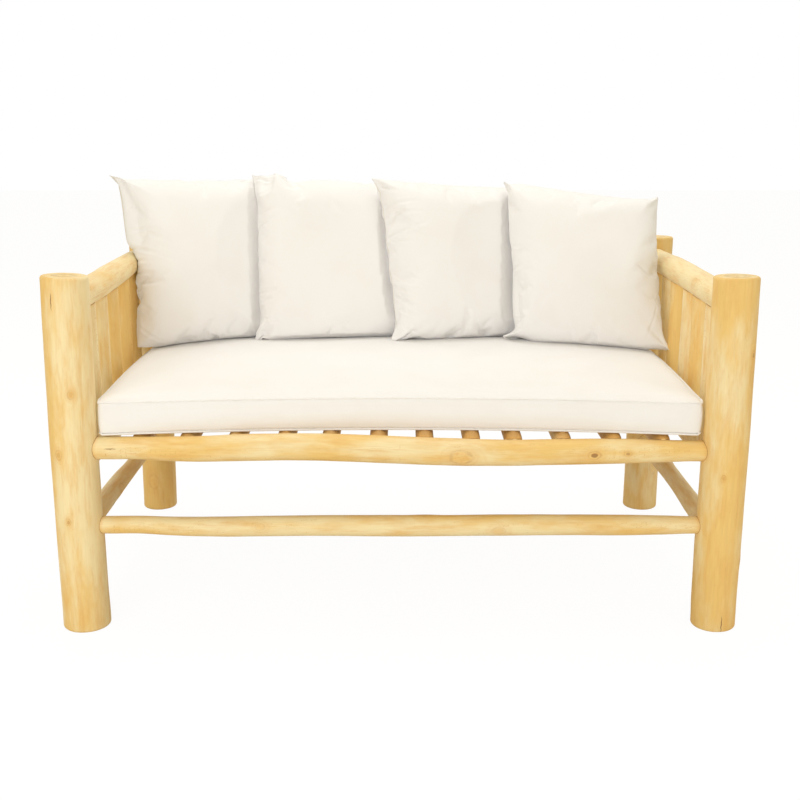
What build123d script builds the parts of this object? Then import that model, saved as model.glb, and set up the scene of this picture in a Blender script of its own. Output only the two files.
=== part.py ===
from build123d import *
import math
import os

# A patio loveseat: a frame of round peeled logs, joined by round tenons, with a boxed seat
# cushion and four loose square pillows that lean on its back rail. All lengths are millimetres.
# The origin is on the ground, below the middle of the seat. X runs along the seat, to the right
# of someone who faces it, Y runs towards its back and Z runs up.

os.makedirs("parts", exist_ok=True)

# Posts: four equal heights, set out by the distances between their centre lines.
post_spacing_x = 1300
post_spacing_y = 753
post_height = 725
front_post_diameter = 93
rear_post_diameter = 89
post_top_round = 5
post_foot_round = 9
post_top_slope_shares = {"front_left_post": (0.045, 0.01), "front_right_post": (-0.015, 0.01),
                         "rear_left_post": (0.01, -0.02), "rear_right_post": (-0.01, 0.01)}
post_girth_shares = {"front_left_post": (1.035, 1.01, 1.0, 1.005, 0.985),
                     "front_right_post": (0.97, 0.985, 0.975, 0.965, 0.945),
                     "rear_left_post": (0.98, 0.99, 1.0, 0.99, 0.98),
                     "rear_right_post": (1.0, 0.99, 0.985, 0.99, 1.0)}
post_sway_shares = {"front_left_post": (0.0, -0.012, -0.02, 0.0, 0.02),
                    "front_right_post": (0.0, -0.01, 0.01, 0.012, 0.008),
                    "rear_left_post": (0.0, 0.02, 0.01, -0.01, -0.02),
                    "rear_right_post": (0.0, 0.01, 0.02, 0.04, 0.07)}

# Seat rails: the thick front and rear ones carry the seat slats, the side ones sit lower.
seat_rail_height = 376
seat_rail_diameter = 55
side_seat_rail_height = 335
side_seat_rail_diameter = 46

# Stretchers: thin logs between the posts, low down at the front and at both sides.
front_stretcher_height = 216
front_stretcher_diameter = 43.5
side_stretcher_height = 195
side_stretcher_diameter = 42

# Arm rails and the back's top rail hang this far below the tops of the posts.
arm_drop = 52
arm_diameter = 57
back_rail_diameter = 54

# Slats: upright ones in the sides and the back, and the ones that run from front to back.
side_slat_diameter = 40
side_slat_place_shares = {"left": (0.195, 0.326, 0.456, 0.602, 0.722, 0.858),
                          "right": (0.182, 0.328, 0.446, 0.602, 0.720, 0.858)}
back_slat_diameter = 38
back_slat_count = 11
back_slat_shift = 5
seat_slat_diameter = 37
seat_slat_count = 12
seat_slat_rise = 13
slat_clearance = 1.5
seat_slat_wander_shares = (0.07, 0.06, 0.07, 0.1, 0.04, 0.05, 0.02, 0.0, -0.12, -0.1, -0.04, -0.03)
slat_end_share = 0.93

# Tenons: round ends turned on each log, and the glue gap that the joints are cut with.
rail_tenon_diameter = 26
stretcher_tenon_diameter = 22
slat_tenon_diameter = 17
tenon_stop_share = 0.84
tenon_root = 16
joint_gap = 0.2
mortise_end_gap = 0.8

# Seat cushion: a boxed pad between the posts, bowed in along its front and back.
cushion_gap = 0.6
rest_gap = 0.3
cushion_overhang = 10
cushion_back_space = 27
cushion_front_bow = 45
cushion_back_bow = 5
cushion_post_ease = 3.5
cushion_side_height = 66.5
cushion_crown = 19
cushion_corner_radius = 16
cushion_side_puff = 4
cushion_side_shares = ((0, 1.0), (0.2, 0.3), (0.5, 0.0), (0.8, 0.25), (1, 0.75))
cushion_crown_shares = ((0.3, 0.03), (0.62, 0.09), (0.87, 0.19), (1, 0.32))

# Pillows: four loose squares, each turned so that its left edge laps over the one before it.
pillow_size = 410
pillow_thickness = 150
pillow_lean = 19
pillow_rise = 14
pillow_names = ("pillow_1", "pillow_2", "pillow_3", "pillow_4")
pillow_yaws = (25, 12, 16, -13)
pillow_x_shares = (-0.957, -0.5415, -0.0246, 0.3846)
pillow_y_shares = (0.624, 0.7185, 0.7039, 0.7171)
pillow_corner_shares = (((0, 0), (0.95, 0), (0.94, 1.0), (-0.045, 1.02)),
                        ((0, 0), (0.99, 0), (0.98, 0.955), (0.015, 1.012)),
                        ((0, 0), (0.98, 0), (0.97, 0.95), (-0.03, 1.02)),
                        ((0.02, 0), (0.95, -0.01), (0.866, 0.897), (-0.03, 1.005)))
pillow_crown_shares = ((0, 1.0, 0.955), (0.3, 0.9, 0.935), (0.62, 0.76, 0.85), (0.88, 0.54, 0.65),
                       (1, 0.25, 0.33))
pillow_lap_x_shares = (-0.4923, 0, 0.3846)
pillow_lap_y_shares = (0.761, 0.7636, 0.7304)
pillow_lap_yaws = (39, 30, 24)

# Cloth covers, and the foam and the filling inside them.
cover_thickness = 1.6
filling_gap = 0.3

post_x = post_spacing_x / 2
post_y = post_spacing_y / 2
arm_height = post_height - arm_drop
seat_slat_height = seat_rail_height + seat_slat_rise
up = Vector(0, 0, 1)


def log(start, end, diameter, girth_shares, lift_shares, drift_shares, growth=0):
    """A peeled log from one point to another, its girth and its sway given along its length."""
    run = end - start
    side = Vector(1, 0, 0) if abs(run.normalized().Z) > abs(run.normalized().X + run.normalized().Y) \
        else up.cross(run).normalized()
    rise = run.cross(side).normalized()
    last = len(girth_shares) - 1
    with BuildPart() as blank:
        for i, girth_share in enumerate(girth_shares):
            centre = start + run * (i / last) + rise * (lift_shares[i] * diameter) \
                + side * (drift_shares[i] * diameter)
            with BuildSketch(Plane(origin=centre, x_dir=side, z_dir=run)):
                Circle(girth_share * diameter / 2 + growth)
        loft()
    return blank.part


def tapered_log(start, end, diameter, end_share):
    """A straight log that thins evenly from one point to another."""
    run = end - start
    slimming = math.degrees(math.atan(diameter * (1 - end_share) / 2 / run.length))
    with BuildPart() as blank:
        with BuildSketch(Plane(origin=start, z_dir=run)):
            Circle(diameter / 2)
        extrude(amount=run.length, taper=slimming)
    return blank.part


def peg(root, direction, near, far, diameter):
    """A plain round pin along a direction, between two distances from its root."""
    with BuildPart() as pin:
        with BuildSketch(Plane(origin=root + direction * near, z_dir=direction)):
            Circle(diameter / 2)
        extrude(amount=far - near)
    return pin.part


def tenons(start, end, diameter, stop_start, stop_end, reach_start, reach_end, growth=0, deeper=0):
    """The two round ends of a log: each runs from its stop, in the neighbour, into the log."""
    along = (end - start).normalized()
    return [peg(start, along, stop_start - deeper, reach_start + tenon_root, diameter + 2 * growth),
            peg(end, along * -1, stop_end - deeper, reach_end + tenon_root, diameter + 2 * growth)]


def fitted_log(name, blank, shoulders, own_tenons, mortises):
    """A finished log: shoulders cut to its neighbours, tenons at its ends, holes for the rest."""
    with BuildPart() as piece:
        add(blank)
        for neighbour in shoulders:
            add(neighbour, mode=Mode.SUBTRACT)
        for tenon in own_tenons:
            add(tenon)
        for mortise in mortises:
            add(mortise, mode=Mode.SUBTRACT)
    piece.part.label = name
    export_step(piece.part, f"parts/{name}.step")
    return piece.part


def post_blank(name, x, y, diameter, growth=0):
    """A post's log, a little taller than the post, so that its top can be sawn at a slope."""
    sway_shares = post_sway_shares[name]
    return log(Vector(x, y, 0), Vector(x, y, post_height + diameter / 4), diameter,
               post_girth_shares[name], [0] * len(sway_shares), sway_shares, growth)


post_places = {"front_left_post": (-post_x, -post_y, front_post_diameter),
               "front_right_post": (post_x, -post_y, front_post_diameter),
               "rear_left_post": (-post_x, post_y, rear_post_diameter),
               "rear_right_post": (post_x, post_y, rear_post_diameter)}
post_cutters = {name: post_blank(name, *place, joint_gap) for name, place in post_places.items()}

# Each member of the frame: its two end points on its neighbours' centre lines, its diameter, and
# how its girth, its height and its side place change along it.
front_left = Vector(-post_x, -post_y, 0)
front_right = Vector(post_x, -post_y, 0)
rear_left = Vector(-post_x, post_y, 0)
rear_right = Vector(post_x, post_y, 0)
members = {
    "front_seat_rail": (
        front_left + up * seat_rail_height, front_right + up * seat_rail_height,
        seat_rail_diameter, rail_tenon_diameter,
        (0.68, 0.87, 0.97, 1.0, 1.0, 0.98, 0.95, 0.87, 0.7),
        (0, 0.06, 0.08, 0.11, 0.0, -0.09, -0.07, -0.04, 0), (0,) * 9),
    "rear_seat_rail": (
        rear_left + up * seat_rail_height, rear_right + up * seat_rail_height,
        seat_rail_diameter, rail_tenon_diameter,
        (0.75, 0.93, 1.0, 0.98, 0.96, 0.92, 0.76),
        (0, -0.04, -0.02, 0.03, 0.05, 0.02, 0), (0,) * 7),
    "left_seat_rail": (
        front_left + up * side_seat_rail_height, rear_left + up * side_seat_rail_height,
        side_seat_rail_diameter, rail_tenon_diameter,
        (0.86, 1.0, 0.98, 0.95, 0.84), (0, 0.03, 0.05, 0.02, 0), (0,) * 5),
    "right_seat_rail": (
        front_right + up * side_seat_rail_height, rear_right + up * side_seat_rail_height,
        side_seat_rail_diameter, rail_tenon_diameter,
        (0.84, 0.97, 1.0, 0.98, 0.86), (0, -0.02, 0.03, 0.04, 0), (0,) * 5),
    "front_stretcher": (
        front_left + up * front_stretcher_height, front_right + up * front_stretcher_height,
        front_stretcher_diameter, stretcher_tenon_diameter,
        (0.64, 0.86, 0.95, 0.98, 1.0, 1.0, 0.98, 0.93, 0.66),
        (0, 0.0, -0.04, 0.0, 0.0, 0.02, 0.04, 0.03, 0), (0,) * 9),
    "left_stretcher": (
        front_left + up * side_stretcher_height, rear_left + up * side_stretcher_height,
        side_stretcher_diameter, stretcher_tenon_diameter,
        (0.8, 0.98, 0.95, 0.76, 0.66), (0, 0.14, 0.12, 0.03, 0), (0, 0.02, 0.05, 0.02, 0)),
    "right_stretcher": (
        front_right + up * side_stretcher_height, rear_right + up * side_stretcher_height,
        side_stretcher_diameter, stretcher_tenon_diameter,
        (0.78, 1.05, 0.92, 1.04, 0.8), (0, -0.19, -0.03, -0.08, 0), (0, -0.03, 0.05, 0.02, 0)),
    "left_arm_rail": (
        front_left + up * arm_height, rear_left + up * arm_height,
        arm_diameter, rail_tenon_diameter,
        (0.93, 1.0, 0.98, 0.88, 0.8), (0, 0.0, 0.07, 0.15, 0.1), (0,) * 5),
    "right_arm_rail": (
        front_right + up * arm_height, rear_right + up * arm_height,
        arm_diameter, rail_tenon_diameter,
        (0.92, 1.0, 1.0, 0.97, 0.88), (0, -0.02, 0.03, 0.03, 0), (0,) * 5),
    "back_top_rail": (
        rear_left + up * arm_height, rear_right + up * arm_height,
        back_rail_diameter, rail_tenon_diameter,
        (0.78, 0.95, 1.0, 0.98, 1.0, 0.94, 0.78), (0, 0.03, 0.05, 0.0, -0.03, 0.0, 0), (0,) * 7)}


def member_blank(name, growth=0):
    """The plain log of a rail or a stretcher, at its own place."""
    start, end, diameter, _, girth_shares, lift_shares, drift_shares = members[name]
    return log(start, end, diameter, girth_shares, lift_shares, drift_shares, growth)


def member_posts(name):
    """The two posts that carry a member, with the radius of each one."""
    start, end = members[name][:2]
    found = []
    for point in (start, end):
        for post_name, (x, y, diameter) in post_places.items():
            if abs(point.X - x) + abs(point.Y - y) < diameter / 2:
                found.append((post_name, diameter / 2))
    return found


def member_tenons(name, growth=0, deeper=0):
    """A member's two tenons, or with a growth the holes that take them."""
    start, end, _, tenon_diameter = members[name][:4]
    (_, first_radius), (_, second_radius) = member_posts(name)
    stop = tenon_stop_share * tenon_diameter
    return tenons(start, end, tenon_diameter, stop, stop, first_radius, second_radius, growth, deeper)


member_cutters = {name: member_blank(name, joint_gap) for name in members}


def slat_ends(lower, upper, share, shift=0):
    """The end points of an upright slat, on the centre lines of its rails or shifted back from them."""
    low_start, low_end = members[lower][:2]
    high_start, high_end = members[upper][:2]
    return (low_start + (low_end - low_start) * share + Vector(0, shift, 0),
            high_start + (high_end - high_start) * share + Vector(0, shift, 0))


# Slats: each has a name, two end points, a diameter and the rails that carry it.
slats = {}
for side in ("left", "right"):
    for i, share in enumerate(side_slat_place_shares[side]):
        slats[f"{side}_side_slat_{i + 1}"] = (
            *slat_ends(f"{side}_seat_rail", f"{side}_arm_rail", share),
            side_slat_diameter, f"{side}_seat_rail", f"{side}_arm_rail")
back_pitch_share = 1 / (back_slat_count + 1)
for i in range(back_slat_count):
    slats[f"back_slat_{i + 1}"] = (
        *slat_ends("rear_seat_rail", "back_top_rail", (i + 1) * back_pitch_share, back_slat_shift),
        back_slat_diameter, "rear_seat_rail", "back_top_rail")
seat_pitch = (post_spacing_x - side_seat_rail_diameter) / (seat_slat_count + 1)
for i in range(seat_slat_count):
    wander_share = seat_slat_wander_shares[i % len(seat_slat_wander_shares)]
    x = (i - (seat_slat_count - 1) / 2 + wander_share) * seat_pitch
    slats[f"seat_slat_{i + 1}"] = (
        Vector(x, -post_y, seat_slat_height), Vector(x, post_y, seat_slat_height),
        seat_slat_diameter, "front_seat_rail", "rear_seat_rail")


def slat_tenons(name, growth=0, deeper=0):
    """A slat's two tenons, or with a growth the holes that take them."""
    start, end, _, first_rail, second_rail = slats[name]
    stop = tenon_stop_share * slat_tenon_diameter
    first_reach = members[first_rail][2] / 2
    second_reach = members[second_rail][2] / 2
    return tenons(start, end, slat_tenon_diameter, stop, stop, first_reach, second_reach,
                  growth, deeper)


# Posts, with a sloping sawn top, rounded ends and a hole for each tenon that they take.
for name, (x, y, diameter) in post_places.items():
    slope_x, slope_y = post_top_slope_shares[name]
    with BuildPart() as post:
        add(post_blank(name, x, y, diameter))
        split(bisect_by=Plane(origin=(x, y, post_height), z_dir=(slope_x, slope_y, 1)),
              keep=Keep.BOTTOM)
        fillet(post.faces().sort_by(Axis.Z)[-1].edges(), radius=post_top_round)
        fillet(post.faces().sort_by(Axis.Z)[0].edges(), radius=post_foot_round)
        for member in members:
            carriers = [post_name for post_name, _ in member_posts(member)]
            if name in carriers:
                mortises = member_tenons(member, joint_gap, mortise_end_gap)
                add(mortises[carriers.index(name)], mode=Mode.SUBTRACT)
    post.part.label = name
    export_step(post.part, f"parts/{name}.step")

# Rails and stretchers, coped to the posts, with holes for the slats.
for name in members:
    carriers = [post_name for post_name, _ in member_posts(name)]
    holes = []
    for slat_name, slat in slats.items():
        for end_index, rail in enumerate(slat[3:5]):
            if rail == name:
                holes.append(slat_tenons(slat_name, joint_gap, mortise_end_gap)[end_index])
    fitted_log(name, member_blank(name), [post_cutters[carrier] for carrier in carriers],
               member_tenons(name), holes)

# Slats, coped to the rails that carry them. The seat's slats stop short of the back's slats.
seat_slat_setback = back_slat_diameter / 2 - back_slat_shift + slat_clearance
for name, (start, end, diameter, first_rail, second_rail) in slats.items():
    setback = (end - start).normalized() * (seat_slat_setback if first_rail == "front_seat_rail" else 0)
    blank = tapered_log(start + setback, end - setback, diameter, slat_end_share)
    fitted_log(name, blank, [member_cutters[first_rail], member_cutters[second_rail]],
               slat_tenons(name), [])


# Seat cushion.
cushion_bottom = seat_slat_height + seat_slat_diameter / 2 + rest_gap
cushion_half_width = post_x - arm_diameter / 2 - cushion_gap
cushion_corner_x = post_x - front_post_diameter / 2 * post_girth_shares["front_left_post"][2] \
    - cushion_gap - cushion_post_ease
cushion_front_y = -post_y - cushion_overhang
cushion_back_y = post_y - cushion_back_space
cushion_seam_height = cushion_bottom + cushion_side_height


def cushion_face(height, inset):
    """The cushion's outline at one height, drawn in by an inset from its widest shape."""
    corner_x = cushion_corner_x - inset
    half_width = cushion_half_width - inset
    front = cushion_front_y + inset
    back = cushion_back_y - inset
    middle = (front + back) / 2
    with BuildSketch(Plane.XY.offset(height)) as outline:
        with BuildLine():
            ThreePointArc((-corner_x, front), (0, front + cushion_front_bow), (corner_x, front))
            ThreePointArc((corner_x, front), (half_width, middle), (corner_x, back))
            ThreePointArc((corner_x, back), (0, back - cushion_back_bow), (-corner_x, back))
            ThreePointArc((-corner_x, back), (-half_width, middle), (-corner_x, front))
        make_face()
        fillet(outline.vertices(), radius=cushion_corner_radius)
    return outline.sketch


def cushion_body(skin):
    """The cushion's form, a skin's thickness inside its outer surface all round."""
    side_faces = [cushion_face(cushion_bottom + skin + share * (cushion_side_height - skin),
                               skin + inset_share * cushion_side_puff)
                  for share, inset_share in cushion_side_shares]
    seam_inset = skin + cushion_side_shares[-1][1] * cushion_side_puff
    depth = cushion_back_y - cushion_front_y
    crown_faces = [side_faces[-1]] + [
        cushion_face(cushion_seam_height + share * (cushion_crown - skin),
                     seam_inset + inset_share * depth)
        for share, inset_share in cushion_crown_shares]
    with BuildPart() as body:
        loft(side_faces)
        loft(crown_faces)
    return body.part


with BuildPart() as seat_cushion_cover:
    add(cushion_body(0))
    add(cushion_body(cover_thickness), mode=Mode.SUBTRACT)
seat_cushion_cover.part.label = "seat_cushion_cover"
export_step(seat_cushion_cover.part, "parts/seat_cushion_cover.step")

with BuildPart() as seat_cushion_foam:
    add(cushion_body(cover_thickness + filling_gap))
seat_cushion_foam.part.label = "seat_cushion_foam"
export_step(seat_cushion_foam.part, "parts/seat_cushion_foam.step")

# Pillows: they all lean alike, so that each can be drawn up along the same slope past the others.
lean_angle = math.radians(pillow_lean)
slope = Vector(0, math.sin(lean_angle), math.cos(lean_angle))
pillow_base = cushion_seam_height + pillow_rise
pillow_reach = 2 * pillow_size


def heading(yaw):
    """The level direction that a pillow's bottom edge takes."""
    return Vector(math.cos(math.radians(yaw)), math.sin(math.radians(yaw)), 0)


def pillow_blank(index, skin):
    """A pillow's own form: a crowned square with pinched corners and drawn-in sides."""
    along = heading(pillow_yaws[index])
    facing = along.cross(slope).normalized()
    upward = facing.cross(along)
    corner = Vector(pillow_x_shares[index] * post_x, pillow_y_shares[index] * post_spacing_y - post_y,
                    pillow_base)
    corners = [corner + along * (u * pillow_size) + upward * (v * pillow_size)
               for u, v in pillow_corner_shares[index]]
    centre = (corners[0] + corners[1] + corners[2] + corners[3]) * (1 / 4)
    arms = [point - centre for point in corners]
    trim = 1 - 2 * skin / pillow_size
    with BuildPart() as blank:
        for way in (1, -1):
            faces = []
            for level_share, corner_share, side_share in pillow_crown_shares:
                rise = way * level_share * (pillow_thickness / 2 - skin)
                ring = [arm * (corner_share * trim) for arm in arms]
                sides = [(arm + arms[(k + 1) % 4]) * (side_share * trim / 2)
                         for k, arm in enumerate(arms)]
                flat = Plane(origin=centre + facing * rise, x_dir=along, z_dir=facing)
                with BuildSketch(flat) as outline:
                    with BuildLine():
                        for k in range(4):
                            ThreePointArc(*[(point.dot(along), point.dot(upward))
                                            for point in (ring[k], sides[k], ring[(k + 1) % 4])])
                    make_face()
                faces.append(outline.sketch)
            loft(faces)
    return blank.part


def lap_cutter(index, way, clearance):
    """All that lies on one side of the leaning plane where a pillow presses on the next one."""
    along = heading(pillow_lap_yaws[index])
    facing = along.cross(slope).normalized()
    point = Vector(pillow_lap_x_shares[index] * post_x,
                   pillow_lap_y_shares[index] * post_spacing_y - post_y, pillow_base)
    flat = Plane(origin=point + facing * (way * -clearance), x_dir=along, z_dir=facing * way)
    with BuildPart() as cutter:
        with BuildSketch(flat):
            Rectangle(pillow_reach, 2 * pillow_reach)
        extrude(amount=pillow_reach)
    return cutter.part


def back_cutter(clearance):
    """All that lies behind the leaning plane that touches the back's top rail."""
    facing = Vector(1, 0, 0).cross(slope).normalized()
    touch = rear_left + up * arm_height + facing * (back_rail_diameter / 2 + clearance) \
        + up * (back_rail_diameter * max(members["back_top_rail"][5]))
    flat = Plane(origin=Vector(0, touch.Y, touch.Z), x_dir=(1, 0, 0), z_dir=facing * -1)
    with BuildPart() as cutter:
        with BuildSketch(flat):
            Rectangle(2 * post_spacing_x, 2 * pillow_reach)
        extrude(amount=pillow_reach)
    return cutter.part


def arm_cutter(way, clearance):
    """The arm rail, and all that lies outside its inner face below it, cut from a pillow's side."""
    reach = arm_diameter / 2 + clearance
    top_lift_share = max(members["left_arm_rail"][5] + members["right_arm_rail"][5])
    with BuildPart() as cutter:
        with BuildSketch(Plane.XZ.offset(-post_spacing_y)):
            with Locations((way * post_x, arm_height + arm_diameter * top_lift_share)):
                Circle(reach)
                Rectangle(2 * reach, post_height, align=(Align.CENTER, Align.MAX))
        extrude(amount=2 * post_spacing_y)
    return cutter.part


pillow_skins = (0, cover_thickness, cover_thickness + filling_gap)
cushion_cutters = {skin: cushion_body(-rest_gap - skin) for skin in pillow_skins}


def pillow_body(index, skin):
    """A pillow pressed by what it touches: the cushion, the arms, the back and its neighbours."""
    last = len(pillow_names) - 1
    with BuildPart() as body:
        add(pillow_blank(index, skin))
        add(cushion_cutters[skin], mode=Mode.SUBTRACT)
        add(back_cutter(rest_gap + skin), mode=Mode.SUBTRACT)
        if index == 0:
            add(arm_cutter(-1, cushion_gap + skin), mode=Mode.SUBTRACT)
        if index == last:
            add(arm_cutter(1, cushion_gap + skin), mode=Mode.SUBTRACT)
        if index > 0:
            add(lap_cutter(index - 1, -1, rest_gap + skin), mode=Mode.SUBTRACT)
        if index < last:
            add(lap_cutter(index, 1, rest_gap + skin), mode=Mode.SUBTRACT)
    return body.part


for index, name in enumerate(pillow_names):
    with BuildPart() as cover:
        add(pillow_body(index, 0))
        add(pillow_body(index, cover_thickness), mode=Mode.SUBTRACT)
    cover.part.label = f"{name}_cover"
    export_step(cover.part, f"parts/{name}_cover.step")
    with BuildPart() as filling:
        add(pillow_body(index, cover_thickness + filling_gap))
    filling.part.label = f"{name}_filling"
    export_step(filling.part, f"parts/{name}_filling.step")
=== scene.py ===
"""A patio loveseat of peeled logs, with a boxed seat cushion and four loose pillows.

Every log gets its grain, knots and checks, and the cushions get their sewn cloth. Lengths are in
metres: X runs along the seat, Y towards its back and Z up."""

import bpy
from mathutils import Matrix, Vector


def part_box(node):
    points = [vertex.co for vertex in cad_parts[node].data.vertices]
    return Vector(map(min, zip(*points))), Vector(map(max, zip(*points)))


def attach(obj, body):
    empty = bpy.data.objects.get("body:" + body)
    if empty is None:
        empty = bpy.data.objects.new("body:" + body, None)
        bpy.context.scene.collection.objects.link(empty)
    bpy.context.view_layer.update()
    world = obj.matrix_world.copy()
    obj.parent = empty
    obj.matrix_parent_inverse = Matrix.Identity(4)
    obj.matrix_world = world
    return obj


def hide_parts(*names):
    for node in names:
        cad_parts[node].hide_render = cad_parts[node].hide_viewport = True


bl_info = {
    "name": "Log Loveseat",
    "version": (1, 0, 0),
    "blender": (4, 5, 0),
    "location": "3D View > Sidebar > Loveseat",
    "description": "Builds the logs, the seat cushion and the pillows of a patio loveseat",
    "category": "Object",
}

import math

import bmesh
import bpy
from bpy.props import FloatProperty, FloatVectorProperty, IntProperty, PointerProperty
from mathutils import Vector, noise
from mathutils.bvhtree import BVHTree

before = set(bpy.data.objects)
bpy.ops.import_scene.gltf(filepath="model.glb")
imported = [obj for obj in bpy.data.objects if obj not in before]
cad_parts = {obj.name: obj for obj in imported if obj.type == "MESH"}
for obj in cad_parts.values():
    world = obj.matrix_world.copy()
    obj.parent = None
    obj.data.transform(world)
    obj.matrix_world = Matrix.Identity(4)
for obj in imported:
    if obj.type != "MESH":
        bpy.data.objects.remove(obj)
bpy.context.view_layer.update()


def colour(name, description, default):
    """A colour that a user can change."""
    return FloatVectorProperty(name=name, description=description, default=default, size=3,
                               subtype="COLOR", min=0, max=1)


def length(name, description, default):
    """A length that a user can change."""
    return FloatProperty(name=name, description=description, default=default, unit="LENGTH")


def power(name, description, default):
    """A lamp's power that a user can change."""
    return FloatProperty(name=name, description=description, default=default, unit="POWER")


class LoveseatWood(bpy.types.PropertyGroup):
    """Sizes and colours of the peeled logs."""
    sapwood: colour("Sapwood", "Palest wood of the logs", (0.9, 0.75, 0.435))
    honey: colour("Honey", "Middle tone of the logs", (0.85, 0.575, 0.2))
    streak: colour("Streak", "Orange streaks that run with the grain", (0.77, 0.43, 0.115))
    heart: colour("Heart", "Brown of knots, checks and the heart of a log", (0.30, 0.135, 0.045))
    ripple: length("Ripple", "Height of the soft waves that peeling leaves on a log", 0.0009)
    rim: length("Rim", "Rounding of a post's sawn ends", 0.0055)


class LoveseatCloth(bpy.types.PropertyGroup):
    """Sizes and colours of the cushions' cloth."""
    cover: colour("Cover", "Unbleached cotton of the covers", (0.9, 0.893, 0.905))
    thread: colour("Thread", "Shade between the threads and in the seams", (0.74, 0.66, 0.52))
    weave: length("Weave", "Distance between two threads of the cloth", 0.0011)
    piping: length("Piping", "Thickness of the piping round the seat cushion", 0.0042)
    fill_pressure: FloatProperty(name="Fill", description="How hard the pillows are stuffed",
                                 default=7.0, min=0)
    cut_share: FloatProperty(name="Cut", subtype="FACTOR", default=1.055,
                             description="Flat width of a pillow's cloth, over its filled width")
    mesh_count: IntProperty(name="Mesh", description="Faces along one side of a pillow",
                            default=84)


class LoveseatStage(bpy.types.PropertyGroup):
    """Light and floor."""
    key: power("Key light", "Power of the large front light", 51)
    fill: power("Fill light", "Power of the light from the right", 14.5)
    top: power("Top light", "Power of the light above the seat", 48)
    room: FloatProperty(name="Room light", description="Level of the even light all round",
                        default=0.55)


# Nodes -------------------------------------------------------------------------------------------

def lay(tree, kind, inputs=(), **settings):
    """Lays one node. Each input takes a plain value or another node's output."""
    made = tree.nodes.new(kind)
    for key, value in settings.items():
        setattr(made, key, value)
    for key, value in dict(inputs).items():
        value = getattr(value, "socket", value)
        if isinstance(value, bpy.types.NodeSocket):
            tree.links.new(value, made.inputs[key])
        else:
            made.inputs[key].default_value = value
    return made


class Value:
    """What a node gives. Arithmetic on it lays the next nodes."""

    def __init__(self, socket):
        self.socket, self.tree = socket, socket.id_data

    def step(self, operation, *others, kind="Math", outlet=0, **settings):
        """One step of arithmetic."""
        return Value(lay(self.tree, "ShaderNode" + kind, enumerate((self, *others)),
                         operation=operation, **settings).outputs[outlet])

    def part(self, operation, *others, outlet=0):
        """One step of vector arithmetic."""
        return self.step(operation, *others, kind="VectorMath", outlet=outlet)

    def scaled(self, factor, more):
        """This value times a factor, and more added."""
        return self.step("MULTIPLY_ADD", factor, more)

    def __add__(self, other):
        return self.step("ADD", other)

    def __sub__(self, other):
        return self.step("SUBTRACT", other)

    def __rsub__(self, other):
        return self.scaled(-1.0, other)

    def __mul__(self, other):
        return self.step("MULTIPLY", other)

    def __abs__(self):
        return self.step("ABSOLUTE")

    def parts(self):
        """The three numbers of a vector."""
        made = lay(self.tree, "ShaderNodeSeparateXYZ", {0: self})
        return [Value(outlet) for outlet in made.outputs]

    def spread(self, low, high, to_low=0.0, to_high=1.0):
        """A range of this value, eased into another one."""
        ranges = {"Value": self, "From Min": low, "From Max": high, "To Min": to_low,
                  "To Max": to_high}
        return Value(lay(self.tree, "ShaderNodeMapRange", ranges,
                         interpolation_type="SMOOTHSTEP").outputs[0])

    def fall(self, low, high):
        """One up to a low value, and none from a high one."""
        return self.spread(low, high, 1.0, 0.0)

    def noise(self, scale, detail=3.0, roughness=0.55):
        """Noise of so many waves to the metre in each direction of this vector."""
        return Value(lay(self.tree, "ShaderNodeTexNoise", {
            "Vector": self.part("MULTIPLY", scale), "Scale": 1.0, "Detail": detail,
            "Roughness": roughness}).outputs[0])

    def under(self, over, factor, mode="MIX"):
        """This colour with another one laid over it."""
        return Value(lay(self.tree, "ShaderNodeMix", {0: factor, 6: self, 7: over},
                         data_type="RGBA", blend_type=mode).outputs[2])


def new_group(name, inlets):
    """An empty node group that gives a colour, a roughness and a height, and its inputs."""
    tree = bpy.data.node_groups.new(name, "ShaderNodeTree")
    for in_out, listed in (("INPUT", inlets), ("OUTPUT", RESULTS)):
        for socket, kind in listed:
            tree.interface.new_socket(name=socket, in_out=in_out, socket_type="NodeSocket" + kind)
    given = tree.nodes.new("NodeGroupInput").outputs
    return tree, [Value(given[socket]) for socket, _ in inlets]


def give(tree, *results):
    """Joins the results of a group to its outputs."""
    outlet = tree.nodes.new("NodeGroupOutput")
    for result, (name, _) in zip(results, RESULTS):
        tree.links.new(result.socket, outlet.inputs[name])
    return tree


def sockets(kind, names):
    """Some named sockets of one kind."""
    return [(name, kind) for name in names.split()]


WOOD_COLOURS = sockets("Color", "Sapwood Honey Streak Heart")
RESULTS = sockets("Color", "Color") + sockets("Float", "Roughness Height")
TURN = 6.2832
# Where a knot's dark rim lies, over the knot's size; how fast the growth rings follow each other,
# in radians to the metre; and the radius of the darker band in a sawn end.
KNOT_RIM, RINGS, HEARTWOOD = 1.1, 1750.0, 0.019


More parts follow.
